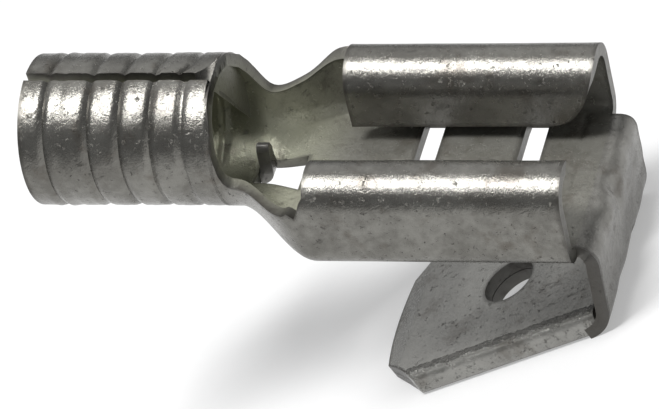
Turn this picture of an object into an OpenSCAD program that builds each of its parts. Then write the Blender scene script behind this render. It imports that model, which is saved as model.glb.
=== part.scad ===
// Piggyback quick-connect terminal, 6.3 mm series: one sheet, stamped and folded.
// The terminal is drawn with its floor level, its wire end at x = 0 and +X towards the mouth.
// It is then turned so that it rests on the underside of its male tab, with the origin at
// the foot of the tab's hole.

/* [Sheet] */
// Thickness of the tin-plated brass strip
sheet_t = 0.4; // [0.35:0.01:0.42]

/* [Wire barrel] */
// Outside diameter of the rolled barrel
barrel_d = 4.64; // [4.2:0.02:5]
// Length of the barrel along the wire
barrel_l = 6; // [5.5:0.1:7]
// Height of the barrel's underside above the underside of the floor
barrel_lift = 0.06; // [0.02:0.01:0.2]
// Width of the open seam
seam_w = 0.34; // [0.2:0.01:0.5]
// Angle of the seam from the top, towards the near side
seam_turn = 6; // [0:0.5:12]
// Rounding of the seam's far corner at the neck
seam_corner_r = 1.1; // [0.8:0.05:1.3]
// Number of rolled gripping grooves
groove_count = 4; // [3:1:4]
// Distance from one groove to the next
groove_pitch = 1; // [0.9:0.02:1.1]
// Distance of the last groove from the neck end of the barrel
groove_inset = 0.82; // [0.7:0.02:1]
// Distance of the entry groove from the wire end
entry_groove_x = 0.75; // [0.6:0.02:0.9]
// Depth of a groove
groove_depth = 0.08; // [0.04:0.01:0.12]
// Radius of the tool that rolls a groove
groove_r = 0.2; // [0.15:0.01:0.3]

/* [Neck] */
// Length of the open trough between barrel and receptacle
neck_l = 3.17; // [2.9:0.01:3.6]
// Height of the trough's wall at its lowest place
neck_wall_h = 1.97; // [1.7:0.01:2.1]
// Height at which the trough's edge leaves the barrel
neck_barrel_h = 4; // [3.4:0.05:4.1]
// Height at which the trough's edge meets the rolls
neck_roll_h = 2.7; // [2.4:0.05:2.8]

/* [Receptacle] */
// Length of the rolled receptacle
rec_l = 7.8; // [7.4:0.1:8.4]
// Outside width over both rolls
rec_w = 7.4; // [7.3:0.02:7.8]
// Outside height of the rolls
rec_h = 3.15; // [3:0.01:3.4]
// Outside radius of a roll
roll_r = 1.01; // [0.95:0.01:1.1]
// Outside radius of the corner between floor and side wall
corner_r = 0.7; // [0.6:0.01:0.8]
// Clear height between the floor and a roll's free edge
edge_gap = 0.62; // [0.5:0.01:0.75]
// Rounding of each roll's corner at the mouth
mouth_r = 1.5; // [1.2:0.05:1.55]

/* [Floor] */
// Width of each cross slot, along the terminal
slot_w = 0.7; // [0.5:0.01:0.8]
// Length of each cross slot, across the terminal
slot_l = 5.1; // [4.4:0.1:5.4]
// Distance of the first slot's middle from the receptacle's back
slot_x = 2.3; // [2:0.05:2.5]
// Distance between the middles of the two slots
slot_step = 3.24; // [3:0.02:3.4]
// Rise of the contact strip between the slots
strip_rise = 0.12; // [0.05:0.01:0.2]
// Side of the square window under the wire stop
window_w = 0.95; // [0.7:0.01:1]
// Distance of the window from the barrel
window_x = 0.9; // [0.8:0.01:1.1]
// Height of the wire stop's top above the underside of the floor
stop_h = 1.25; // [1:0.01:1.6]

/* [Web] */
// Inside radius of the bend from the floor into the web
bend_r = 0.2; // [0.15:0.01:0.3]
// Length of the web's flat stretch
web_l = 1.85; // [1.5:0.01:2.4]
// Inside radius of the bend from the web into the tab
fold_r = 0.8; // [0.7:0.01:0.9]

/* [Tab] */
// Width of the male tab
tab_w = 6.3; // [6.2:0.01:6.35]
// Flat length of the tab, from its tip to the fold
tab_l = 7.65; // [7.4:0.01:8.2]
// Angle between the tab and the floor
tab_angle = 24; // [18:0.5:28]
// Diameter of the tab's latch hole
hole_d = 1.75; // [1.6:0.01:1.8]
// Distance of the hole's middle from the tip
hole_tip = 4.4; // [4.1:0.01:4.6]
// Length of the tip's corner cut, along the tab
tip_l = 1.5; // [1.2:0.01:1.6]
// Width of the tip's corner cut, across the tab
tip_w = 1.2; // [1:0.01:1.4]
// Crown of the tip's end
tip_crown = 0.22; // [0.1:0.01:0.3]
// Length of the lead-in bevel at the tip
bevel_l = 0.55; // [0.4:0.01:0.7]
// Depth of the lead-in bevel on each face
bevel_h = 0.2; // [0.1:0.01:0.25]

/* [Hidden] */
metal = [0.62, 0.61, 0.58];
skin = 0.01;    // the trough lies this far inside the surfaces that it runs into
slack = 0.1;    // overlap of joined forms and overrun of cutters
arc_steps = 9;  // facets to a quarter turn of a rolled section
barrel_r = barrel_d / 2;
barrel_z = barrel_r + barrel_lift;
rec_x = barrel_l + neck_l;
mouth_x = rec_x + rec_l;
flat_y = rec_w / 2 - corner_r;
roll_y = rec_w / 2 - roll_r;
roll_z = rec_h - roll_r;
edge_z = sheet_t + edge_gap;
slot_mid_x = rec_x + slot_x + slot_step / 2;
window_start = barrel_l + window_x;
tab_t = 2 * sheet_t;

// Developed lengths of one half of the receptacle's section, from the middle of the floor
corner_s = flat_y + corner_r * PI / 2;
wall_s = corner_s + roll_z - corner_r;
roll_s = wall_s + roll_r * PI;
free_s = roll_s + roll_z - edge_z;

// Bends of the web: centres in the side view, outside radii
bend_out = bend_r + sheet_t;
bend_c = [mouth_x + 0.05, sheet_t - bend_out];
web_x = bend_c[0] + bend_out;
fold_out = fold_r + sheet_t;
fold_c = [web_x - fold_out, bend_c[1] - web_l];
// Foot of the fold: where its outside runs into the underside of the tab
foot = fold_c + fold_out * [sin(tab_angle), -cos(tab_angle)];

function mix(a, b, w) = a * (1 - w) + b * w;
function smooth(t) = let(c = min(max(t, 0), 1)) c * c * (3 - 2 * c);
function deg(arc, r) = arc / r * 180 / PI;
function polar(c, r, a) = c + r * [cos(a), sin(a)];

// Point of the receptacle's right half section at developed length s, d under the outside
function half_section(s, d) =
    s < flat_y ? [s, d]
    : s < corner_s ? polar([flat_y, corner_r], corner_r - d, deg(s - flat_y, corner_r) - 90)
    : s < wall_s ? [rec_w / 2 - d, corner_r + s - corner_s]
    : s < roll_s ? polar([roll_y, roll_z], roll_r - d, deg(s - wall_s, roll_r))
    : [roll_y - roll_r + d, roll_z - (s - roll_s)];
function section(s, d) =
    let(p = half_section(abs(s), d)) [sign(s) * p[0], p[1]];
// Point of the barrel's section at angle a from the bottom, d under the outside
function ring(a, d) = [(barrel_r - d) * sin(a), barrel_z - (barrel_r - d) * cos(a)];

half_steps = concat(
    [for (i = [0 : arc_steps]) flat_y + (corner_s - flat_y) * i / arc_steps],
    [for (i = [0 : 2 * arc_steps]) wall_s + (roll_s - wall_s) * i / (2 * arc_steps)],
    [free_s]);
steps = concat([for (i = [len(half_steps) - 1 : -1 : 0]) -half_steps[i]], half_steps);

// Trough: the edge falls from the barrel, runs level and climbs to the rolls
function edge_h(x) = let(t = (x - barrel_l) / neck_l, fall = max(0, 1 - t * 2.9))
    neck_wall_h + (neck_barrel_h - neck_wall_h) * pow(fall, 6)
    + (neck_roll_h - neck_wall_h) * smooth((t - 0.55) / 0.45);
function edge_s(h) = h < roll_z
    ? corner_s + h - corner_r
    : wall_s + roll_r * asin(min(1, (h - roll_z) / roll_r)) * PI / 180;
function edge_a(h) = acos((barrel_z - h) / barrel_r);
function trough_point(x, u, d) = let(
        t = (x - barrel_l) / neck_l,
        h = edge_h(min(max(x, barrel_l), rec_x)),
        p = mix(ring(u * edge_a(h), d), section(u * edge_s(h), d), smooth((t - 0.19) / 0.63)))
    [x, p[0], p[1]];

trough_rings = 20;
trough_sides = 30;
trough_x = concat([barrel_l - slack],
    [for (i = [0 : trough_rings]) barrel_l + neck_l * pow(i / trough_rings, 1.5)],
    [rec_x + slack]);

// A closed shell through rings of points: each ring is the outside, then the inside turned back
module trough() {
    m = trough_sides;
    n = 2 * (m + 1);
    last = len(trough_x) - 1;
    points = [for (x = trough_x) each concat(
        [for (j = [0 : m]) trough_point(x, 2 * j / m - 1, skin)],
        [for (j = [m : -1 : 0]) trough_point(x, 2 * j / m - 1, sheet_t - skin)])];
    sides = [for (i = [0 : last - 1], j = [0 : n - 1])
        let(a = i * n + j, b = i * n + (j + 1) % n)
        each [[a, a + n, b], [b, a + n, b + n]]];
    caps = [for (j = [0 : m - 1])
        let(a = j, b = j + 1, c = n - 2 - j, d = n - 1 - j, e = last * n)
        each [[a, b, d], [b, c, d], [e + a, e + d, e + b], [e + b, e + d, e + c]]];
    polyhedron(points = points, faces = concat(sides, caps));
}

module groove(x) {
    translate([x, 0, barrel_z]) rotate([0, 90, 0]) rotate_extrude($fn = 96)
        translate([barrel_r + groove_r - groove_depth, 0]) circle(groove_r, $fn = 32);
}

module barrel() {
    difference() {
        translate([0, 0, barrel_z]) rotate([0, 90, 0]) cylinder(h = barrel_l, r = barrel_r, $fn = 96);
        translate([-slack, 0, barrel_z]) rotate([0, 90, 0])
            cylinder(h = barrel_l + 2 * slack, r = barrel_r - sheet_t, $fn = 96);
        for (i = [0 : groove_count - 1]) groove(barrel_l - groove_inset - i * groove_pitch);
        groove(entry_groove_x);
        translate([-slack, 0, barrel_z]) rotate([seam_turn, 0, 0]) translate([0, -seam_w / 2, 0])
            cube([barrel_l + 2 * slack, seam_w, barrel_r + slack]);
        seam_corner();
    }
}

// Rounds the far corner between the seam and the barrel's neck end
module seam_corner() {
    translate([barrel_l - seam_corner_r, -barrel_r * sin(seam_turn), barrel_z + barrel_r / 2])
        linear_extrude(barrel_r) difference() {
            square([seam_corner_r + slack, seam_corner_r]);
            translate([0, seam_corner_r]) circle(seam_corner_r, $fn = 64);
        }
}

// Window in the trough's floor, and the wire stop turned up from it
module neck() {
    difference() {
        trough();
        translate([window_start, -window_w / 2, -slack]) cube([window_w, window_w, 3 * sheet_t]);
    }
    translate([window_start - sheet_t, -window_w / 2, sheet_t / 2])
        cube([sheet_t, window_w, stop_h - sheet_t / 2]);
}

module receptacle() {
    difference() {
        translate([rec_x, 0, 0]) rotate([90, 0, 90]) linear_extrude(rec_l)
            polygon(concat([for (s = steps) section(s, 0)],
                [for (i = [len(steps) - 1 : -1 : 0]) section(steps[i], sheet_t)]));
        for (side = [-1, 1]) mouth_corner(side);
        translate([slot_mid_x - (slot_step + slot_w) / 2, -slot_l / 2, -slack])
            cube([slot_step + slot_w, slot_l, sheet_t + 2 * slack]);
    }
    contact_strip();
}

// Rounds the corner of a roll's free edge at the mouth, above the floor
module mouth_corner(side) {
    scale([1, side, 1]) translate([mouth_x - mouth_r, roll_y - roll_r, (sheet_t + edge_z) / 2])
        linear_extrude(rec_h) difference() {
            translate([0, -slack]) square([mouth_r + slack, mouth_r + slack]);
            translate([0, mouth_r]) circle(mouth_r, $fn = 64);
        }
}

// Floor strip between the slots, pressed up to bear on the mating tab
module contact_strip() {
    strip_l = slot_step - slot_w;
    translate([slot_mid_x - strip_l / 2, -slot_l / 2 - slack, strip_rise])
        cube([strip_l, slot_l + 2 * slack, sheet_t]);
}

// Side view of the strip from the mouth, over the bend, down the web and round the fold
module web() {
    a = [for (i = [0 : arc_steps]) 90 - 90 * i / arc_steps];
    b = [for (i = [0 : arc_steps]) -(90 - tab_angle) * i / arc_steps];
    outside = concat([for (t = a) polar(bend_c, bend_out, t)], [for (t = b) polar(fold_c, fold_out, t)]);
    inside = concat([for (t = a) polar(bend_c, bend_r, t)], [for (t = b) polar(fold_c, fold_r, t)]);
    translate([0, tab_w / 2, 0]) rotate([90, 0, 0]) linear_extrude(tab_w)
        polygon(concat([[mouth_x, sheet_t]], outside,
            [for (i = [len(inside) - 1 : -1 : 0]) inside[i]], [[mouth_x, 0]]));
    translate([mouth_x - slack, -flat_y, 0]) cube([2 * slack, 2 * flat_y, sheet_t]);
}

// Outline of the tab, with x = 0 at its tip: cut corners and a crowned end
module tab_outline() {
    end_w = tab_w / 2 - tip_w;
    crown_r = (end_w * end_w + tip_crown * tip_crown) / (2 * tip_crown);
    intersection() {
        polygon([[tip_l, -tab_w / 2], [tab_l + slack, -tab_w / 2], [tab_l + slack, tab_w / 2],
            [tip_l, tab_w / 2], [tip_crown, end_w], [-tip_crown, end_w],
            [-tip_crown, -end_w], [tip_crown, -end_w]]);
        translate([crown_r, 0]) circle(crown_r, $fn = 256);
    }
}

// Section of the tab: two layers, folded over along the near edge
module tab_section() {
    polygon(concat([[tab_w / 2, 0], [tab_w / 2, tab_t]],
        [for (i = [0 : 2 * arc_steps])
            polar([-tab_w / 2 + tab_t / 2, tab_t / 2], tab_t / 2, 90 + 90 * i / arc_steps)]));
}

module tip_bevel() {
    translate([bevel_l, 0, 0]) rotate([0, -atan(bevel_h / bevel_l), 0])
        translate([-2 * bevel_l, -tab_w, -tab_w]) cube([2 * bevel_l + slack, 2 * tab_w, tab_w]);
}

module tab() {
    difference() {
        intersection() {
            linear_extrude(tab_t) tab_outline();
            rotate([90, 0, 90]) linear_extrude(tab_l + slack) tab_section();
        }
        translate([hole_tip, 0, -slack]) cylinder(h = tab_t + 2 * slack, d = hole_d, $fn = 64);
        tip_bevel();
        translate([0, 0, tab_t]) mirror([0, 0, 1]) tip_bevel();
    }
}

// The tab lies under the receptacle, its underside on the foot of the fold
module placed_tab() {
    translate([foot[0], 0, foot[1]]) rotate([0, -tab_angle, 0]) translate([-tab_l, 0, 0]) tab();
}

module terminal() {
    color(metal)
        translate([tab_l - hole_tip, 0, 0]) rotate([0, tab_angle, 0]) translate([-foot[0], 0, -foot[1]])
            union() {
                barrel();
                neck();
                receptacle();
                web();
                placed_tab();
            }
}

terminal();
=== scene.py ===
"""Piggyback female spade terminal in tin-plated brass, drawn as a stamped and folded strip.

Every sheet-metal piece starts as a flat blank: a grid whose rows run along the strip and whose
columns run across it. The openings are taken out of the blank, the blank gets its thickness,
and a forming function then carries each point of it onto the formed shape. Lengths in the
classes are millimetres with the floor level and the wire end at x = 0, as the maker draws it.
"""

import logging
import math
from dataclasses import dataclass, field
from enum import Enum
from typing import Callable

import bmesh
import bpy
from mathutils import Matrix, Vector, noise


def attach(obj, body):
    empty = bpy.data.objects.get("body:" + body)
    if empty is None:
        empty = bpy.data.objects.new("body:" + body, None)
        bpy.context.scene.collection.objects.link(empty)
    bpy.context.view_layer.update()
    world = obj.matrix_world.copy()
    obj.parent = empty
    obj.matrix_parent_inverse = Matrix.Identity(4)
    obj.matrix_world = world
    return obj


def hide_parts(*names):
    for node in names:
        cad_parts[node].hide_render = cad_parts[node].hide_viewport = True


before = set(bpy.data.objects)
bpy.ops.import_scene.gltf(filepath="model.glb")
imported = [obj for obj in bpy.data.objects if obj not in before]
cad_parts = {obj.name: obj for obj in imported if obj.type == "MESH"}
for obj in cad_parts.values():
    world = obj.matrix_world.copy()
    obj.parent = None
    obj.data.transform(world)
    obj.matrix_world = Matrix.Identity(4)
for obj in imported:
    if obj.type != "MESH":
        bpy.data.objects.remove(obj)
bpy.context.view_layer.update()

log = logging.getLogger("terminal")
MM = 0.001
BEVEL_SEGMENTS = 2
BEVEL_ANGLE = 52.0
ROUNDING = 1e-4

Former = Callable[[float, float, float], Vector]
Field = Callable[[float, float, float], float]


class Side(Enum):
    """The two sides of the strip, as the sign of their Y."""

    NEAR = -1
    FAR = 1


class Zone(Enum):
    """The stretches of the main strip, from the wire end on."""

    BARREL = "barrel"
    NECK = "neck"
    RECEPTACLE = "receptacle"
    WEB = "web"


def ease(t: float) -> float:
    """A smooth step from 0 to 1 while t goes from 0 to 1."""
    c = min(max(t, 0.0), 1.0)
    return c * c * (3 - 2 * c)


def blend(a: Vector, b: Vector, w: float) -> Vector:
    """The point at share w of the way from a to b."""
    return a * (1 - w) + b * w


def bump_at(x: float, middle: float, half: float) -> float:
    """A round-topped hump of height 1 at the middle that is 0 beyond half to each side."""
    t = abs(x - middle) / half
    return math.cos(t * math.pi / 2) ** 2 if t < 1 else 0.0


def nowhere(along: float, across: float, depth: float) -> float:
    """The painted inner light, or the wear and painted shade, of a piece that has none."""
    return 0.0


def stations(marks: list[float], pitch: float) -> list[float]:
    """Positions at about one pitch that hit every mark.

    Args:
        marks: The positions that must be met, in rising order.
        pitch: The wanted distance from one position to the next.

    Returns:
        All positions, in rising order, with the marks among them.
    """
    out = [marks[0]]
    for a, b in zip(marks, marks[1:]):
        n = max(1, round((b - a) / pitch))
        out += [a + (b - a) * (i + 1) / n for i in range(n)]
    return out


@dataclass(frozen=True)
class Stance:
    """How the level drawing is turned so that the terminal lies on its tab.

    Attributes:
        lean: Angle between the tab and the floor, in degrees.
        foot: Where the underside of the tab meets the fold, in the drawing.
        hole_to_foot: Distance from the middle of the tab's hole to that foot.
    """

    lean: float = 24.0
    foot: tuple[float, float] = (16.9081, -3.1463)
    hole_to_foot: float = 3.25

    def place(self, p: Vector) -> Vector:
        """The point p of the drawing as it stands in the frame, in metres."""
        a = math.radians(self.lean)
        x, z = p.x - self.foot[0], p.z - self.foot[1]
        return MM * Vector(
            (x * math.cos(a) + z * math.sin(a) + self.hole_to_foot, p.y, z * math.cos(a) - x * math.sin(a))
        )


STANCE = Stance()


@dataclass
class Blank:
    """A flat piece of strip, cut and thickened before it is formed.

    Attributes:
        rows: Positions along the strip.
        columns: Positions across the strip.
        bm: The mesh in work.
    """

    rows: list[float]
    columns: list[float]
    bm: bmesh.types.BMesh = field(default_factory=bmesh.new)

    def lay_out(self) -> None:
        """Makes the grid and moves its lines onto the rows and columns."""
        n, m = len(self.rows) - 1, len(self.columns) - 1
        bmesh.ops.create_grid(self.bm, x_segments=n, y_segments=m, size=0.5)
        for v in self.bm.verts:
            v.co.x = self.rows[round((v.co.x + 0.5) * n)]
            v.co.y = self.columns[round((v.co.y + 0.5) * m)]

    def stamp_out(self, waste: Callable[[float, float], bool]) -> None:
        """Takes out each face whose middle the waste function names.

        Args:
            waste: Says for a position along and across whether it is waste.
        """
        gone = [f for f in self.bm.faces if waste(*f.calc_center_median().xy)]
        bmesh.ops.delete(self.bm, geom=gone, context="FACES")

    def thicken(self, dull: float = 0.0) -> None:
        """Gives the blank its thickness as the height 0 to 1 and marks the inner face.

        Args:
            dull: The least dullness that any face gets, from 0 to 1; the inner face gets 1.
        """
        bmesh.ops.recalc_face_normals(self.bm, faces=self.bm.faces[:])
        made = bmesh.ops.extrude_face_region(self.bm, geom=self.bm.faces[:])
        for e in made["geom"]:
            if isinstance(e, bmesh.types.BMVert):
                e.co.z = 1.0
        inside = self.bm.verts.layers.float.new("inside")
        for v in self.bm.verts:
            v[inside] = max(v.co.z, dull)

    def mark_cut(self, reach: int = 2) -> None:
        """Stores how near each point is to a cut edge, 1 on the edge and less for each step away.

        Args:
            reach: How many steps of the grid the mark runs in from the edge.
        """
        cut = self.bm.verts.layers.float.new("cut")
        edge = {v for f in self.bm.faces if abs(f.normal.z) < 0.5 for v in f.verts}
        level, seen = edge, set(edge)
        for step in range(reach + 1):
            for v in level:
                v[cut] = 1.0 - step / (reach + 1)
            level = {e.other_vert(v) for v in level for e in v.link_edges} - seen
            seen |= level

    def form(self, shape: Former, inner_light_paint: Field = nowhere, wear_and_shade: Field = nowhere) -> None:
        """Carries every point onto the formed shape.

        Args:
            shape: Gives the drawing's point for a position along, across and through the strip.
            inner_light_paint: Gives how much painted reflected light, an olive tone, that place gets, from
                0 to 1.
            wear_and_shade: Gives how torn and dark that place is, from 0 to 1, painted shade in hollows
                included.
        """
        self.bm.normal_update()
        self.mark_cut()
        # Painted reflected light on the inside, stored for each point.
        inner_light_layer = self.bm.verts.layers.float.new("inner_light_paint")
        # Real wear, together with painted shade in hollows, stored for each point.
        worn_and_shaded = self.bm.verts.layers.float.new("wear_and_shade")
        for v in self.bm.verts:
            v[inner_light_layer] = inner_light_paint(v.co.x, v.co.y, v.co.z)
            v[worn_and_shaded] = wear_and_shade(v.co.x, v.co.y, v.co.z)
            v.co = STANCE.place(shape(v.co.x, v.co.y, v.co.z))
        bmesh.ops.recalc_face_normals(self.bm, faces=self.bm.faces[:])

    def finish(self, name: str, edge_round: float) -> bpy.types.Object:
        """Turns the blank into an object that rides on the terminal.

        Args:
            name: The piece's name.
            edge_round: Width of the rounding along cut edges, in millimetres.

        Returns:
            The new object, at the origin.
        """
        mesh = bpy.data.meshes.new(name)
        self.bm.to_mesh(mesh)
        self.bm.free()
        mesh.shade_smooth()
        piece = bpy.data.objects.new(name, mesh)
        bpy.context.scene.collection.objects.link(piece)
        soften = piece.modifiers.new("edge", "BEVEL")
        soften.width = edge_round * MM
        soften.segments = BEVEL_SEGMENTS
        soften.limit_method = "ANGLE"
        soften.angle_limit = math.radians(BEVEL_ANGLE)
        soften.use_clamp_overlap = True
        soften.harden_normals = True
        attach(piece, "root")
        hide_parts("terminal")
        log.info("%s: %d faces", name, len(mesh.polygons))
        return piece


@dataclass
class Strip:
    """The main strip: wire barrel, neck, receptacle and web, formed from one blank.

    A position across the strip runs from -2 (near) to 2 (far). From -1 to 1 it covers what the
    neck has; past that it covers the barrel's upper wall and the rolls. Names that end in _r are
    radii, in _l lengths along the strip, in _h heights above the floor's underside and in _s
    lengths in the flat sheet from the middle line. Turns are degrees from the barrel's bottom.
    """

    sheet: float = 0.4
    pitch: float = 0.11
    fine_pitch: float = 0.07
    edge_round: float = 0.05

    # wire barrel
    barrel_r: float = 2.32
    barrel_z: float = 2.38
    barrel_l: float = 6.0
    seam_near: float = 169.8
    seam_far: float = 183.0
    seam_corner_r: float = 0.85
    seam_corner_from: float = 4.4
    grooves: tuple[float, ...] = (0.77, 2.17, 3.17, 4.18, 5.17)
    groove_depth: float = 0.09
    groove_half: float = 0.16
    lip_h: float = 0.018
    lip_off: float = 0.19
    lip_half: float = 0.1
    faint_groove: tuple[float, float, float] = (1.28, 0.14, 0.03)
    belly: float = 0.03
    belly_from: float = 1.6
    belly_phase: float = 0.17
    barrel_dent: float = 0.02

    # neck
    neck_turn: float = 150.5
    neck_wall_h: float = 1.97
    neck_barrel_h: float = 4.4
    neck_roll_h: float = 2.7
    near_rise: float = 0.16
    far_swell: float = 0.08
    hook_h: float = 0.1
    hook: tuple[tuple[float, float], tuple[float, float]] = ((8.62, 0.16), (8.86, 0.14))
    late_s: float = 3.7
    late_half: float = 1.3
    window: tuple[float, float] = (6.42, 7.85)
    window_near: float = -0.1195
    window_far: float = 0.215

    # receptacle
    rec_x: float = 9.17
    mouth_x: float = 16.97
    rec_w: float = 7.4
    rec_h: float = 3.15
    roll_r: float = 1.01
    corner_r: float = 0.7
    edge_z: float = 1.02
    mouth_r: float = 1.5
    mouth_s: float = 7.2
    roll_dent: float = 0.012
    slots: tuple[tuple[float, float], ...] = ((11.2, 11.88), (14.44, 15.12))
    slot_half: float = 2.8
    strip_rise: float = 0.12
    crease_x: float = 16.2
    crease_half: float = 0.13
    crease_depth: float = 0.05

    # bend, web and fold
    bend: tuple[float, float] = (17.02, -0.2)
    bend_r: float = 0.2
    web_l: float = 1.85
    web_half: float = 3.15
    fold_r: float = 0.8
    nick_depth: float = 0.14
    nick_y: float = 0.82
    gusset_depth: float = 0.22
    gusset_y: float = 0.1
    shoulder_h: float = 0.07
    shoulders: tuple[float, float] = (-0.95, 1.15)
    web_dent: float = 0.03
    torn_w: float = 0.3

    def __post_init__(self) -> None:
        """Works out the developed lengths of half the receptacle's section and of the web."""
        self.flat = self.rec_w / 2 - self.corner_r
        self.roll_y = self.rec_w / 2 - self.roll_r
        self.roll_z = self.rec_h - self.roll_r
        self.corner_s = self.flat + self.corner_r * math.pi / 2
        self.wall_s = self.corner_s + self.roll_z - self.corner_r
        self.roll_s = self.wall_s + self.roll_r * math.pi
        self.free_s = self.roll_s + self.roll_z - self.edge_z
        self.neck_s = self.edge_s(self.neck_roll_h)
        self.flat_w = self.flat / self.neck_s
        self.bend_l = (self.bend_r + self.sheet / 2) * math.pi / 2
        self.fold_turn = math.radians(90 - STANCE.lean)
        self.fold_l = (self.fold_r + self.sheet / 2) * self.fold_turn
        self.bend_end = self.bend[0] + self.bend_l
        self.web_end = self.bend_end + self.web_l
        self.foot = self.web_end + self.fold_l

    def zone(self, x: float) -> Zone:
        """The zone that a position along the strip lies in."""
        if x < self.barrel_l:
            return Zone.BARREL
        if x < self.rec_x:
            return Zone.NECK
        return Zone.RECEPTACLE if x < self.mouth_x else Zone.WEB

    def edge_s(self, h: float) -> float:
        """Developed length at which the receptacle's section reaches the height h."""
        if h < self.roll_z:
            return self.corner_s + h - self.corner_r
        return self.wall_s + self.roll_r * math.asin(min(1.0, (h - self.roll_z) / self.roll_r))

    def edge_h(self, x: float, side: Side) -> float:
        """Height of the neck's edge, with the small hook that the near side has before its roll."""
        t = (x - self.barrel_l) / (self.rec_x - self.barrel_l)
        drop = self.neck_barrel_h - self.neck_wall_h
        rise = self.neck_roll_h - self.neck_wall_h
        if side is Side.FAR:
            fuller = self.far_swell * ease(t / 0.3) * ease((1 - t) / 0.3)
            fall = drop * max(0.0, 1 - t * 2.2) ** 4
            return self.neck_wall_h + fall + fuller + rise * ease((t - 0.5) / 0.5)
        fall = drop * max(0.0, 1 - t * 2.9) ** 7
        up, down = self.hook
        hook = self.hook_h * bump_at(x, *up) - self.hook_h * bump_at(x, *down)
        climb = self.near_rise * ease((t - 0.5) / 0.4)
        last = (rise - self.near_rise) * ease((t - 0.9) / 0.1)
        return self.neck_wall_h + fall + climb + last + hook

    def section(self, s: float, d: float) -> Vector:
        """Point of the receptacle's section at developed length s, d under the outside."""
        a = abs(s)
        if a < self.flat:
            y, z = a, d
        elif a < self.corner_s:
            t = (a - self.flat) / self.corner_r
            y = self.flat + (self.corner_r - d) * math.sin(t)
            z = self.corner_r - (self.corner_r - d) * math.cos(t)
        elif a < self.wall_s:
            y, z = self.rec_w / 2 - d, self.corner_r + a - self.corner_s
        elif a < self.roll_s:
            t = (a - self.wall_s) / self.roll_r
            y = self.roll_y + (self.roll_r - d) * math.cos(t)
            z = self.roll_z + (self.roll_r - d) * math.sin(t)
        else:
            y, z = self.roll_y - self.roll_r + d, self.roll_z - (a - self.roll_s)
        return Vector((0, math.copysign(y, s), z))

    def ring(self, turn: float, d: float) -> Vector:
        """Point of the barrel's section at an angle in radians from the bottom, d under the outside."""
        r = self.barrel_r - d
        return Vector((0, r * math.sin(turn), self.barrel_z - r * math.cos(turn)))

    def lips_at(self, x: float, groove: float) -> float:
        """How much of the two raised lips beside a groove is at x, from 0 to 1."""
        return sum(bump_at(x, groove + side * self.lip_off, self.lip_half) for side in (-1, 1))

    def barrel_point(self, x: float, w: float, d: float) -> Vector:
        """Point of the wire barrel, with its rolled grooves and the rounded corner at the seam."""
        share = abs(w)
        end = self.seam_far if w > 0 else self.seam_near
        turn = share * self.neck_turn
        if share >= 1:
            turn = self.neck_turn + (share - 1) * (end - self.neck_turn)
        turn = math.radians(math.copysign(turn, w))
        press = sum(self.groove_depth * bump_at(x, g, self.groove_half) for g in self.grooves)
        press -= sum(self.lip_h * self.lips_at(x, g) for g in self.grooves)
        middle, half, depth = self.faint_groove
        press += depth * bump_at(x, middle, half)
        belly = self.belly
        if x > self.belly_from:
            belly = self.belly * (1 - math.cos(2 * math.pi * (x - self.belly_phase))) / 2
        around = Vector((x * 0.7, math.sin(turn) * 2.1, math.cos(turn) * 2.1 + 7))
        dent = self.barrel_dent * noise.noise(around)
        p = self.ring(turn, d + press + self.belly - belly + dent)
        far = ease((w - 1) / 0.2) if w > 0 else 0.0
        corner_y = self.seam_corner_r * 0.78
        top, start = self.barrel_l, self.seam_corner_from
        if far and p.z > self.barrel_z and p.y < corner_y:
            off = min(self.seam_corner_r, corner_y - p.y)
            top -= far * (self.seam_corner_r - math.sqrt(self.seam_corner_r**2 - off**2))
        p.x = x if x < start else start + (x - start) * (top - start) / (self.barrel_l - start)
        return p

    def neck_point(self, x: float, w: float, d: float) -> Vector:
        """Point of the open neck, between the barrel's ring and the receptacle's section."""
        t = (x - self.barrel_l) / (self.rec_x - self.barrel_l)
        h = self.edge_h(x, Side.FAR if w > 0 else Side.NEAR)
        turn = math.acos((self.barrel_z - h) / self.barrel_r)
        s = w * self.edge_s(h)
        late = math.exp(-(((abs(s) - self.late_s) / self.late_half) ** 2))
        share = ease((t - 0.19 + 0.07 * late) / (0.63 + 0.25 * late))
        p = blend(self.ring(w * turn, d), self.section(s, d), share)
        p.x = x
        return p

    def receptacle_point(self, x: float, w: float, d: float) -> Vector:
        """Point of the rolled receptacle, its raised strip between the slots and its rounded mouth."""
        share = abs(w)
        s = share * self.neck_s
        if share >= 1:
            s = self.neck_s + (share - 1) * (self.free_s - self.neck_s)
        p = self.section(math.copysign(s, w), d)
        end = self.mouth_x
        if s > self.mouth_s:
            turn = (s - self.mouth_s) / (self.free_s - self.mouth_s)
            end -= self.mouth_r * (1 - math.sqrt(max(0.0, 1 - turn**2)))
        p.x = self.rec_x + (x - self.rec_x) * (end - self.rec_x) / (self.mouth_x - self.rec_x)
        if s < self.flat:
            (_, a), (b, _) = self.slots
            across = ease((self.slot_half + 0.05 - abs(p.y)) / 0.5)
            along = ease((x - a + 0.2) / 0.5) * ease((b + 0.2 - x) / 0.5)
            p.z += self.strip_rise * across * along
            p.z -= self.crease_depth * bump_at(x, self.crease_x, self.crease_half)
        elif s > self.wall_s:
            p.z += self.roll_dent * noise.noise(Vector((x * 0.5, s * 0.8, 3)))
        return p

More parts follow.
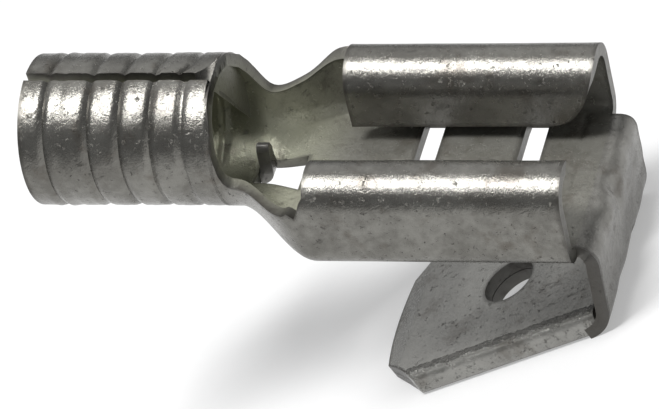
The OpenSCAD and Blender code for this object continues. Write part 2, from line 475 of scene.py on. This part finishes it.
    def web_point(self, x: float, w: float, d: float) -> Vector:
        """Point of the strip past the mouth: round the bend, down the web and round the fold."""
        y = w * self.neck_s
        y *= 1 + (self.web_half / self.flat - 1) * ease((x - self.mouth_x) / 0.5)
        d -= self.nick_depth * bump_at(x, self.web_end + 0.35, 0.35) * bump_at(y, self.nick_y, 0.3)
        d -= self.gusset_depth * bump_at(x, self.bend_end, 0.7) * bump_at(y, self.gusset_y, 0.5)
        near, far = (bump_at(y, at, 0.75) for at in self.shoulders)
        d += self.shoulder_h * bump_at(x, self.bend_end - 0.15, 0.45) * (near + far)
        waves = noise.noise(Vector((x * 1.6, y * 1.3, 5)))
        d += self.web_dent * waves * ease((x - self.mouth_x) / 0.4)
        if x < self.bend[0]:
            return Vector((x, y, d))
        if x < self.bend_end:
            t = (x - self.bend[0]) / self.bend_l * math.pi / 2
            r = self.bend_r + d
            return Vector((self.bend[0] + r * math.sin(t), y, self.bend[1] + r * math.cos(t)))
        web_x = self.bend[0] + self.bend_r + d
        if x < self.web_end:
            return Vector((web_x, y, self.bend[1] - (x - self.bend_end)))
        t = min(1.0, (x - self.web_end) / self.fold_l) * self.fold_turn
        r = self.fold_r + d
        middle = self.bend[0] + self.bend_r - self.fold_r
        return Vector((middle + r * math.cos(t), y, self.bend[1] - self.web_l - r * math.sin(t)))

    def shape(self, x: float, w: float, d: float) -> Vector:
        """The formed point for a position along, across and through the strip."""
        makers = {
            Zone.BARREL: self.barrel_point,
            Zone.NECK: self.neck_point,
            Zone.RECEPTACLE: self.receptacle_point,
            Zone.WEB: self.web_point,
        }
        return makers[self.zone(x)](x, w, d * self.sheet)

    def waste(self, x: float, w: float) -> bool:
        """Whether a place on the blank is outside the strip or in one of its openings."""
        share = abs(w)
        zone = self.zone(x)
        if zone is Zone.NECK:
            in_window = self.window[0] < x < self.window[1] and self.window_near < w < self.window_far
            return share > 1 or in_window
        if zone is Zone.RECEPTACLE:
            return share < self.slot_half / self.neck_s and any(a < x < b for a, b in self.slots)
        return zone is Zone.WEB and share > self.flat_w

    def inner_light_paint(self, x: float, w: float, d: float) -> float:
        """How much painted reflected light, an olive tone, the inside gets, most in the barrel."""
        return d * (1 - 0.9 * ease((x - 7.2) / 2.2)) if x < self.mouth_x else 0.0

    def wear_and_shade(self, x: float, w: float, d: float) -> float:
        """How torn the strip is, most along the near edge of the web; the little it gives along one side
        of each groove and along the floor's crease is painted shade in these hollows.
        """
        if x > self.bend[0]:
            from_edge = (w + self.flat_w) * self.neck_s
            return 0.9 * ease((self.torn_w - from_edge) / self.torn_w) * ease((x - self.bend[0]) / 0.5)
        # Painted shade: dark flecks along one side of each groove and along the crease on the floor's top.
        grooves = max(bump_at(x, g + 0.1, 0.14) for g in self.grooves) if x < self.barrel_l else 0.0
        return 0.3 * grooves + 0.35 * bump_at(x, self.crease_x, 0.1) * d

    def build(self) -> bpy.types.Object:
        """Lays out, cuts and forms the strip.

        Returns:
            The strip's object.
        """
        slot_w = self.slot_half / self.neck_s
        far_marks = [self.window_far, slot_w, self.flat_w, 1]
        marks = [-1, -self.flat_w, -slot_w, self.window_near, 0] + far_marks
        inner = stations(marks, self.pitch / self.neck_s)
        outer = stations([1, 2], self.pitch / (self.free_s - self.neck_s))[1:]
        columns = [-v for v in reversed(outer)] + inner + outer
        marks = [0, self.barrel_l, self.window[0], self.window[1], self.rec_x]
        marks += [x for slot in self.slots for x in slot] + [self.mouth_x, self.bend[0]]
        rows = stations(marks, self.pitch)
        rows += stations([self.bend[0], self.bend_end, self.web_end, self.foot], self.fine_pitch)[1:]
        blank = Blank(rows, columns)
        blank.lay_out()
        blank.stamp_out(self.waste)
        blank.thicken()
        blank.form(self.shape, self.inner_light_paint, self.wear_and_shade)
        return blank.finish("strip", self.edge_round)


@dataclass
class WireStop:
    """The tongue that is turned up out of the neck's floor and stops the wire."""

    sheet: float = 0.4
    half: float = 0.25
    middle: float = 0.42
    bend: tuple[float, float] = (6.42, 0.48)
    inside_r: float = 0.08
    turn_l: float = 0.44
    top: float = 1.42
    corner: float = 0.16
    pitch: float = 0.07
    edge_round: float = 0.05

    def shape(self, x: float, y: float, d: float) -> Vector:
        """The formed point for a position along, across and through the tongue."""
        r = self.inside_r + self.sheet * (1 - d)
        foot, bend_z = self.bend
        if x < self.turn_l:
            t = x / self.turn_l * math.pi / 2
            return Vector((foot + r * math.sin(t), self.middle + y, bend_z - r * math.cos(t)))
        length = self.top - bend_z
        up = (x - self.turn_l) / length
        round_off = self.corner * ease((abs(y) / self.half - 0.35) / 0.65)
        return Vector((foot + r, self.middle + y * (1 - 0.25 * up), bend_z + up * (length - round_off)))

    def build(self) -> bpy.types.Object:
        """Forms the tongue and returns its object."""
        rows = stations([0, self.turn_l, self.turn_l + self.top - self.bend[1]], self.pitch)
        blank = Blank(rows, stations([-self.half, 0, self.half], self.pitch))
        blank.lay_out()
        blank.thicken()
        blank.form(self.shape)
        return blank.finish("wire_stop", self.edge_round)


@dataclass
class Tab:
    """The male tab: a strip folded double along its near edge, with a hole through both layers."""

    width: float = 6.3
    length: float = 7.65
    thick: float = 0.8
    layer: float = 0.388
    hole_x: float = 4.4
    hole_r: float = 0.875
    hole_cut: float = 0.72
    hole_field: float = 1.5
    tip_l: float = 1.5
    tip_w: float = 1.2
    tip_crown: float = 0.22
    bevel_l: float = 0.85
    bevel_h: float = 0.2
    fold_over: float = 0.52
    root_over: float = 0.66
    root_l: float = 1.0
    dull: float = 0.7
    pitch: float = 0.11
    fold_pitch: float = 0.04
    edge_round: float = 0.045

    def __post_init__(self) -> None:
        """Works out the fold's centre and the developed width of the two layers."""
        self.half = self.width / 2
        self.round = self.thick / 2
        self.fold_y = self.round - self.half
        self.fold_half = self.round / 2 * math.pi / 2
        self.layer_w = self.half - self.fold_y
        self.edge = self.layer_w + self.fold_half

    def tip_half(self, x: float) -> float:
        """Half the tab's width at a place along it, less at the cut corners of the tip."""
        return self.half - self.tip_w * max(0.0, 1 - x / self.tip_l)

    def shape(self, x: float, c: float, d: float) -> Vector:
        """The formed point, in the drawing, for a position along, across and through the tab."""
        half = self.tip_half(x)
        deep = d * self.layer
        a = abs(c)
        if a < self.fold_half:
            t = c / self.fold_half * math.pi / 2
            y = self.fold_y - (self.round - deep) * math.cos(t) ** 0.5
            z = self.round + (self.round - deep) * math.copysign(abs(math.sin(t)) ** 0.75, t)
            y = max(y, -half + 0.3 * deep)
        else:
            y = self.fold_y + (a - self.fold_half)
            z = self.thick - deep if c > 0 else deep
            y *= half / self.half if y > 0 else min(1.0, half / -self.fold_y)
        tip = self.tip_crown * (y / (self.half - self.tip_w)) ** 2 if x < self.tip_l else 0.0
        x = tip + x * (self.tip_l - tip) / self.tip_l if x < self.tip_l else x
        over = self.fold_over * ease(c / self.fold_half + 1)
        over += (self.root_over - self.fold_over) * ease((c - self.fold_half) / 0.3)
        x += max(0.0, over) * max(0.0, (x - self.length + self.root_l) / self.root_l)
        squeeze = 1 - self.bevel_h / self.round * max(0.0, 1 - x / self.bevel_l)
        z = self.round + (z - self.round) * squeeze
        return self.drawn(x, y, z)

    def drawn(self, x: float, y: float, z: float) -> Vector:
        """A point of the level tab as the drawing has it, leaning under the receptacle."""
        a = math.radians(STANCE.lean)
        u = x - self.length
        foot_x, foot_z = STANCE.foot
        along, up = u * math.cos(a) - z * math.sin(a), u * math.sin(a) + z * math.cos(a)
        return Vector((foot_x + along, y, foot_z + up))

    def waste(self, x: float, c: float) -> bool:
        """Whether a place on the blank is cut away at the tip's near corner or for the hole."""
        if abs(c) < self.fold_half:
            return self.tip_half(x) < -self.fold_y
        middle = self.fold_half - self.fold_y
        return abs(x - self.hole_x) < self.hole_cut and abs(abs(c) - middle) < self.hole_cut

    def wear_and_shade(self, x: float, c: float, d: float) -> float:
        """How torn the tab is: most along the crease where each side was folded over."""
        rolled = 0.42 * ease((self.fold_half - abs(c)) / 0.1)
        return max(0.85 * bump_at(abs(c), self.fold_half + 0.04, 0.2), rolled)

    def round_hole(self, blank: Blank, middle: float) -> None:
        """Draws the square opening of a layer out to the hole's circle.

        Args:
            blank: The blank with the square openings taken out.
            middle: Position of the hole's middle across the blank.
        """
        for v in blank.bm.verts:
            off = Vector((v.co.x - self.hole_x, v.co.y - middle, 0))
            ring = max(abs(off.x), abs(off.y))
            if not self.hole_cut - ROUNDING < ring < self.hole_field:
                continue
            share = (self.hole_field - ring) / (self.hole_field - self.hole_cut)
            circle = off.normalized() * (self.hole_r + (ring - self.hole_cut) * 0.9)
            off = blend(off, circle, share)
            v.co.x, v.co.y = self.hole_x + off.x, middle + off.y

    def build(self) -> bpy.types.Object:
        """Lays out, cuts and forms the two layers and returns the tab's object."""
        low, high = self.hole_x - self.hole_cut, self.hole_x + self.hole_cut
        marks = [0, self.bevel_l, self.root_l, self.tip_l, low, high, self.length]
        rows = stations(marks, self.pitch)
        middle = self.fold_half - self.fold_y
        side = [self.fold_half, middle - self.hole_cut, middle + self.hole_cut, self.edge]
        half = stations(side, self.pitch)
        turn = stations([-self.fold_half, 0, self.fold_half], self.fold_pitch)
        blank = Blank(rows, [-v for v in reversed(half)] + turn[1:-1] + half)
        blank.lay_out()
        blank.stamp_out(self.waste)
        for at in (-middle, middle):
            self.round_hole(blank, at)
        blank.thicken(self.dull)
        blank.form(self.shape, wear_and_shade=self.wear_and_shade)
        return blank.finish("tab", self.edge_round)


class Pin:
    """A shader socket that takes part in sums and products as a number does."""

    def __init__(self, net: "Net", socket: bpy.types.NodeSocket | None) -> None:
        """Keeps the net that the socket's node is in, and the socket."""
        self.net, self.socket = net, socket

    def maths(self, operation: str, a: object, b: object) -> "Pin":
        """Adds a Math node of this operation and returns its result."""
        return self.net.node("ShaderNodeMath", {"operation": operation}, {0: a, 1: b})

    def __add__(self, other: object) -> "Pin":
        """Sum."""
        return self.maths("ADD", self, other)

    def __sub__(self, other: object) -> "Pin":
        """Difference."""
        return self.maths("SUBTRACT", self, other)

    def __rsub__(self, other: object) -> "Pin":
        """Difference from a number."""
        return self.maths("SUBTRACT", other, self)

    def __mul__(self, other: object) -> "Pin":
        """Product."""
        return self.maths("MULTIPLY", self, other)

    __radd__ = __add__
    __rmul__ = __mul__


class Net:
    """The nodes of one material."""

    def __init__(self, name: str) -> None:
        """Starts an empty material of that name."""
        self.material = bpy.data.materials.new(name)
        self.material.use_nodes = True
        self.tree = self.material.node_tree
        self.tree.nodes.clear()

    def node(
        self,
        kind: str,
        settings: dict[str, object],
        inputs: dict[str | int, object],
        out: int | str = 0,
    ) -> Pin:
        """Adds one node.

        Args:
            kind: The node's type.
            settings: Its properties, which are set first.
            inputs: Values or pins for its sockets, by name or number.
            out: The output to return.

        Returns:
            The pin of that output, or an empty pin where the node has none.
        """
        made = self.tree.nodes.new(kind)
        for key, value in settings.items():
            setattr(made, key, value)
        for key, value in inputs.items():
            if isinstance(value, Pin):
                self.tree.links.new(value.socket, made.inputs[key])
            else:
                made.inputs[key].default_value = value
        return Pin(self, made.outputs[out] if made.outputs else None)

    def stored(self, name: str) -> Pin:
        """The value that the mesh stores under this name."""
        return self.node("ShaderNodeAttribute", {"attribute_name": name}, {}, "Fac")

    def ramp(self, factor: Pin, low: float, high: float) -> Pin:
        """A mask that goes smoothly from 0 to 1 while the factor goes from low to high."""
        return self.node(
            "ShaderNodeMapRange",
            {"interpolation_type": "SMOOTHSTEP"},
            {"Value": factor, "From Min": low, "From Max": high, "To Min": 0.0, "To Max": 1.0},
        )

    def tint(self, factor: Pin | float, a: object, b: object) -> Pin:
        """The colour a, turned to b where the factor is 1."""
        return self.node("ShaderNodeMix", {"data_type": "RGBA"}, {0: factor, 6: a, 7: b}, 2)

    def dress(self, inputs: dict[str | int, object]) -> bpy.types.Material:
        """Ends the net in a principled shader with these inputs and returns the material."""
        skin = self.node("ShaderNodeBsdfPrincipled", {}, inputs)
        self.node("ShaderNodeOutputMaterial", {}, {"Surface": skin})
        return self.material


@dataclass(frozen=True)
class TinnedBrass:
    """Dull tin plating over brass: grainy, clouded and scuffed, with dark torn cut edges.

    Attributes:
        light: Colour of the clean tin.
        dark: Colour of the tarnished tin.
        fleck: Colour of the pits and scuffs.
        inner_light_tint: Olive colour painted on the inside as the light reflected within it.
        brown: Colour of the brown blotches where the plating is thin.
        grain: Scale of the grain, to the millimetre.
        grain_depth: Weight of the grain in the relief.
        shine: How metallic the outer face is.
        dulling: How much less metallic the inner face is.
        gloss: Roughness of the smoothest tin.
        relief: Strength of the relief.
        relief_h: Height of the relief, in metres.
        name: The material's name.
    """

    light: tuple[float, ...] = (0.222, 0.217, 0.199, 1)
    dark: tuple[float, ...] = (0.147, 0.142, 0.129, 1)
    fleck: tuple[float, ...] = (0.06, 0.056, 0.05, 1)
    inner_light_tint: tuple[float, ...] = (0.5, 0.505, 0.37, 1)
    brown: tuple[float, ...] = (0.082, 0.067, 0.052, 1)
    grain: float = 7.5
    grain_depth: float = 0.52
    shine: float = 0.88
    dulling: float = 0.42
    gloss: float = 0.17
    relief: float = 0.6
    relief_h: float = 0.000045
    name: str = "tinned brass"

    def noise(self, net: Net, place: Pin, scale: float, detail: float, rough: float = 0.55) -> Pin:
        """A noise of this scale to the millimetre."""
        inputs = {"Vector": place, "Scale": scale, "Detail": detail, "Roughness": rough}
        return net.node("ShaderNodeTexNoise", {}, inputs)

    def make(self) -> bpy.types.Material:
        """Builds the finish.

        Returns:
            The material.
        """
        net = Net(self.name)
        spot = net.node("ShaderNodeTexCoord", {}, {}, "Object")
        place = net.node("ShaderNodeVectorMath", {"operation": "SCALE"}, {0: spot, "Scale": 1 / MM})
        level = (0, -math.radians(STANCE.lean), 0)
        drawn = net.node(
            "ShaderNodeMapping",
            {"vector_type": "POINT"},
            {"Vector": place, "Rotation": level, "Scale": (0.3, 1.0, 1.0)},
        )
        cut, inner_light_paint, inside, wear_and_shade = (net.stored(name) for name in ("cut", "inner_light_paint", "inside", "wear_and_shade"))
        cloud = self.noise(net, place, 0.55, 4)
        mottle = self.noise(net, place, 3.2, 5, 0.62)
        grain = self.noise(net, place, self.grain, 6, 0.7)
        fine = self.noise(net, place, self.grain * 2.6, 3, 0.6)
        streak = self.noise(net, drawn, 3.4, 4, 0.6)
        dull = net.ramp(cloud * 0.55 + mottle * 0.45, 0.36, 0.62)
        thin = net.ramp(self.noise(net, place, 0.9, 5, 0.7), 0.52, 0.68)
        pits = net.ramp(self.noise(net, place, 5.2, 4, 0.75), 0.6, 0.7)
        scuff = net.ramp(streak, 0.6, 0.72) * net.ramp(cloud, 0.42, 0.6)
        edge = net.ramp(cut + grain * 0.6, 0.75, 1.25)
        # Dark torn flecks: real tearing at the web's edge and the tab's fold, and painted shade in the
        # grooves and the crease.
        torn_and_shaded = net.ramp(wear_and_shade + mottle * 0.7 + grain * 1.1, 1.4, 1.62)
        base = net.tint(dull, self.light, self.dark)
        # Painted reflected light: the inside is tinted towards a lighter olive tone.
        base = net.tint(inner_light_paint * (cloud * 0.5 + 0.4), base, self.inner_light_tint)
        base = net.tint(thin * 0.45, base, self.brown)
        for mask, share in ((pits, 0.75), (scuff, 0.5), (edge, 0.55), (torn_and_shaded, 0.7)):
            base = net.tint(mask * share, base, self.fleck)
        raised = grain * self.grain_depth + fine * 0.26 + mottle * 0.4
        height = raised - pits * 0.35 - scuff * 0.25 - torn_and_shaded * 1.2
        bump = {"Height": height, "Strength": self.relief, "Distance": self.relief_h}
        return net.dress(
            {
                "Base Color": base,
                "Metallic": self.shine - inside * self.dulling,
                "Roughness": mottle * 0.16 + pits * 0.15 + edge * 0.1 + self.gloss,
                "Normal": net.node("ShaderNodeBump", {}, bump),
            }
        )


WORN_TIN = TinnedBrass()
# A lighter copy of the tin, painted light for the tab and the wire stop, which lie in shade.
SHADE_LIFTED_TIN = TinnedBrass(
    light=(0.305, 0.301, 0.281, 1),
    dark=(0.26, 0.256, 0.239, 1),
    name="tinned brass, lightened for shaded parts",
)


@dataclass(frozen=True)
class Paper:
    """Matt white paper for the floor, faintly lit from below as on a light table.

    Attributes:
        tone: Colour of the paper.
        fibre: Colour of its fibres.
        glow: Strength of the light from below.
    """

    tone: tuple[float, ...] = (0.47, 0.47, 0.47, 1)
    fibre: tuple[float, ...] = (0.44, 0.44, 0.44, 1)
    glow: float = 0.36

    def make(self) -> bpy.types.Material:
        """Builds the finish and returns the material."""
        net = Net("white paper")
        fibre = net.node("ShaderNodeTexNoise", {}, {"Scale": 900.0, "Detail": 3.0})
        tone = net.tint(fibre, self.tone, self.fibre)
        glow = {"Emission Color": (1, 1, 1, 1), "Emission Strength": self.glow}
        return net.dress({"Base Color": tone, "Roughness": 0.9} | glow)


@dataclass(frozen=True)
class Softbox:
    """A soft light that faces the part.

    Attributes:
        name: The light's name.
        at: Its place, in metres.
        size: Its two sides, in metres.
        strength: Its power, in watts.
        faces: The place that it faces, in metres.
    """

    name: str
    at: tuple[float, float, float]
    size: tuple[float, float]
    strength: float
    faces: tuple[float, float, float] = (0, 0, 0.006)

    def hang(self) -> None:
        """Adds the light to the scene."""
        data = bpy.data.lights.new(self.name, "AREA")
        data.shape, data.size, data.size_y = "RECTANGLE", *self.size
        data.energy = self.strength
        lamp = bpy.data.objects.new(self.name, data)
        lamp.location = self.at
        lamp.rotation_mode = "QUATERNION"
        lamp.rotation_quaternion = (Vector(self.faces) - Vector(self.at)).to_track_quat("-Z", "Y")
        bpy.context.scene.collection.objects.link(lamp)


@dataclass(frozen=True)
class Studio:
    """The floor, the soft lights and the camera.

    Attributes:
        azimuth: The camera's angle round the part, in degrees.
        elevation: The camera's angle above the floor, in degrees.
        roll: How far the camera is turned about its own axis, in degrees.
        target: The place that the camera looks at, in millimetres.
        distance: The camera's distance from it, in millimetres.
        lens: Focal length, in millimetres.
        sensor: Width of the sensor, in millimetres.
        floor_half: Half the side of the floor, in metres.
        air: Colour of the light from all round.
        air_strength: Strength of that light.
        lights: The soft lights: a narrow one overhead and a wide one behind.
    """

    azimuth: float = 36.96
    elevation: float = 27.12
    roll: float = 39.70
    target: tuple[float, float, float] = (-2.693, -0.965, 6.307)
    distance: float = 127.05
    lens: float = 230.16
    sensor: float = 36.0
    floor_half: float = 0.6
    air: tuple[float, ...] = (0.5, 0.51, 0.52, 1)
    air_strength: float = 0.42
    lights: tuple[Softbox, ...] = (
        Softbox("overhead", (0.03, -0.06, 0.3), (0.17, 0.066), 1.2),
        Softbox("back", (-0.05, 0.28, 0.32), (0.7, 0.45), 0.66),
    )

    def camera(self) -> None:
        """Sets up the camera."""
        a, e, r = (math.radians(v) for v in (self.azimuth, self.elevation, self.roll))
        back = Vector((math.sin(a) * math.cos(e), -math.cos(a) * math.cos(e), math.sin(e)))
        side = Vector((math.cos(a), math.sin(a), 0))
        up = back.cross(side) * math.cos(r) + side * math.sin(r)
        right = up.cross(back)
        data = bpy.data.cameras.new("camera")
        data.lens, data.sensor_width, data.sensor_fit = self.lens, self.sensor, "HORIZONTAL"
        data.clip_start, data.clip_end = 0.005, 5
        rig = bpy.data.objects.new("camera", data)
        turned = Matrix((right, up, back)).transposed().to_4x4()
        rig.matrix_world = Matrix.Translation((Vector(self.target) + back * self.distance) * MM) @ turned
        bpy.context.scene.collection.objects.link(rig)
        bpy.context.scene.camera = rig

    def floor(self) -> None:
        """Lays the paper that the part stands on."""
        bm = bmesh.new()
        bmesh.ops.create_grid(bm, x_segments=1, y_segments=1, size=self.floor_half)
        mesh = bpy.data.meshes.new("floor")
        bm.to_mesh(mesh)
        bm.free()
        sheet = bpy.data.objects.new("floor", mesh)
        mesh.materials.append(Paper().make())
        bpy.context.scene.collection.objects.link(sheet)

    def build(self) -> None:
        """Sets the whole studio up."""
        scene = bpy.context.scene
        scene.view_settings.view_transform = "Standard"
        world = bpy.data.worlds.new("room")
        world.use_nodes = True
        air = world.node_tree.nodes["Background"].inputs
        air["Color"].default_value = self.air
        air["Strength"].default_value = self.air_strength
        scene.world = world
        self.floor()
        for light in self.lights:
            light.hang()
        self.camera()
        log.info("studio: floor, %d soft lights and the camera", len(self.lights))


def main() -> None:
    """Builds the studio and the terminal's pieces in order."""
    Studio().build()
    worn_and_shaded, shade_lifted = WORN_TIN.make(), SHADE_LIFTED_TIN.make()
    # The tab and the wire stop take the lighter copy: painted light on parts that lie in shade.
    for maker, finish in ((Strip(), worn_and_shaded), (WireStop(), shade_lifted), (Tab(), shade_lifted)):
        piece = maker.build()
        piece.data.materials.append(finish)
        log.info("%s is dressed in %s", piece.name, finish.name)


if __name__ == "__main__":
    logging.basicConfig(level=logging.INFO)
    main()
